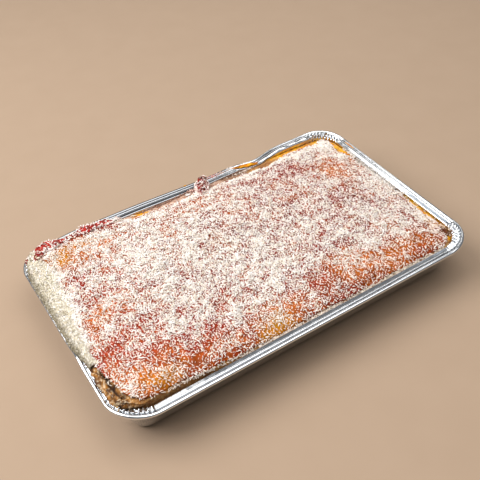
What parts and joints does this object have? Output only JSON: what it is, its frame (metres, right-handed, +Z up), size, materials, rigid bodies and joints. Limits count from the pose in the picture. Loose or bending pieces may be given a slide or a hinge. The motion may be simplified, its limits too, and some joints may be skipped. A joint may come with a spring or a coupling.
{
  "type": "jam and coconut traybake in its foil tray",
  "caption": "Flat sponge cake with jam and desiccated coconut, still in the rolled-rim aluminium foil tray that it was baked and sold in.",
  "frame": {"origin": "centre of the tray's base, under the middle of the whole, on the surface it stands on", "axes": "+X along the tray's long sides, +Y towards the long side whose rim is dented, +Z up out of the tray; the bank of loose coconut is at -X"},
  "size_m": [0.319, 0.2003, 0.048],
  "materials": {
    "foil_tray": "bright rolled foil",
    "sponge": "matt baked crumb",
    "jam_layer": "glossy jam with matt coconut",
    "coconut_drift": "matt",
    "jam_spill": "glossy",
    "jam_lump": "glossy"
  },
  "bodies": {
    "root": {"foil_tray": "foil_tray", "sponge": "sponge", "jam_layer": "jam_layer", "coconut_drift": "coconut_drift", "jam_spill": "jam_spill", "jam_lump": "jam_lump"}
  },
  "joints": []
}
